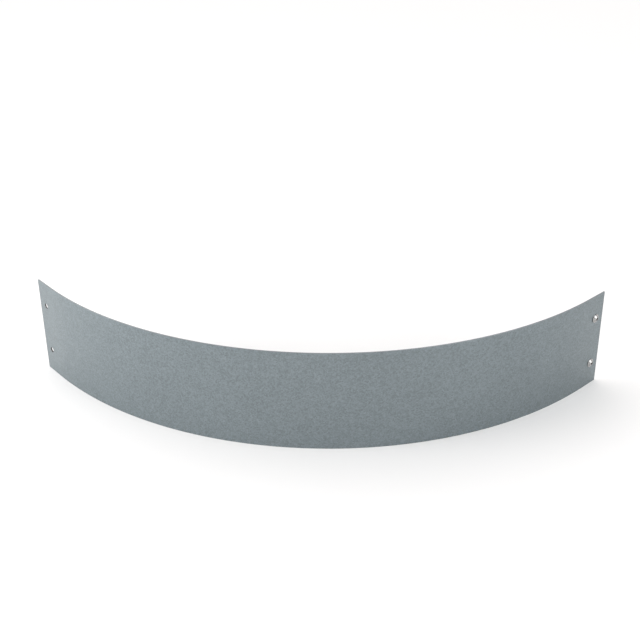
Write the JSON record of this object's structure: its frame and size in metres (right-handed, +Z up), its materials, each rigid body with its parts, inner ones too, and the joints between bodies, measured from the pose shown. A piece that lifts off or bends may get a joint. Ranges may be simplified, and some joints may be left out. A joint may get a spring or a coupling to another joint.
{
  "type": "curved landscape edging panel",
  "caption": "Quarter-circle panel of galvanised steel edging with flat end tabs, one drilled for screws and one with screws, washers and nuts fitted.",
  "frame": {"origin": "under the middle of the part's bounding box, at ground level", "axes": "+Z up; the tab with the plain holes runs along X and its outer face looks along -Y; the tab with the screws runs along Y and its outer face looks along +X; the convex side of the curve looks between +X and -Y"},
  "size_m": [0.5884, 0.585, 0.15],
  "materials": {
    "galvanised_sheet": "hot-dip galvanised sheet, matt blue-grey zinc with a faint fine speckle",
    "bright_fastener": "bright zinc-plated steel, smooth and shiny"
  },
  "bodies": {
    "panel": {"curved_panel": "galvanised_sheet"},
    "lower_screw": {"lower_screw": "bright_fastener"},
    "lower_washer": {"lower_washer": "bright_fastener"},
    "lower_nut": {"lower_nut": "bright_fastener"},
    "upper_screw": {"upper_screw": "bright_fastener"},
    "upper_washer": {"upper_washer": "bright_fastener"},
    "upper_nut": {"upper_nut": "bright_fastener"}
  },
  "joints": [
    {"name": "lower_screw_turn", "type": "hinge", "parent": "panel", "child": "lower_screw", "pos_m": [0.2908, 0.275, 0.0375], "axis": [1, 0, 0], "range_deg": [0, 4050]},
    {"name": "lower_washer_travel", "type": "slide", "parent": "panel", "child": "lower_washer", "axis": [-1, 0, 0], "range_m": [0, 0.00562]},
    {"name": "lower_nut_travel", "type": "slide", "parent": "panel", "child": "lower_nut", "axis": [-1, 0, 0], "range_m": [0, 0.01125]},
    {"name": "upper_screw_turn", "type": "hinge", "parent": "panel", "child": "upper_screw", "pos_m": [0.2908, 0.275, 0.1125], "axis": [1, 0, 0], "range_deg": [0, 4050]},
    {"name": "upper_washer_travel", "type": "slide", "parent": "panel", "child": "upper_washer", "axis": [-1, 0, 0], "range_m": [0, 0.00562]},
    {"name": "upper_nut_travel", "type": "slide", "parent": "panel", "child": "upper_nut", "axis": [-1, 0, 0], "range_m": [0, 0.01125]}
  ],
  "couplings": [
    {"joint": "lower_screw_turn", "follows": "lower_nut_travel", "rad_per_m": 6283.1},
    {"joint": "lower_washer_travel", "follows": "lower_nut_travel", "ratio": 0.5},
    {"joint": "upper_screw_turn", "follows": "upper_nut_travel", "rad_per_m": 6283.1},
    {"joint": "upper_washer_travel", "follows": "upper_nut_travel", "ratio": 0.5}
  ]
}
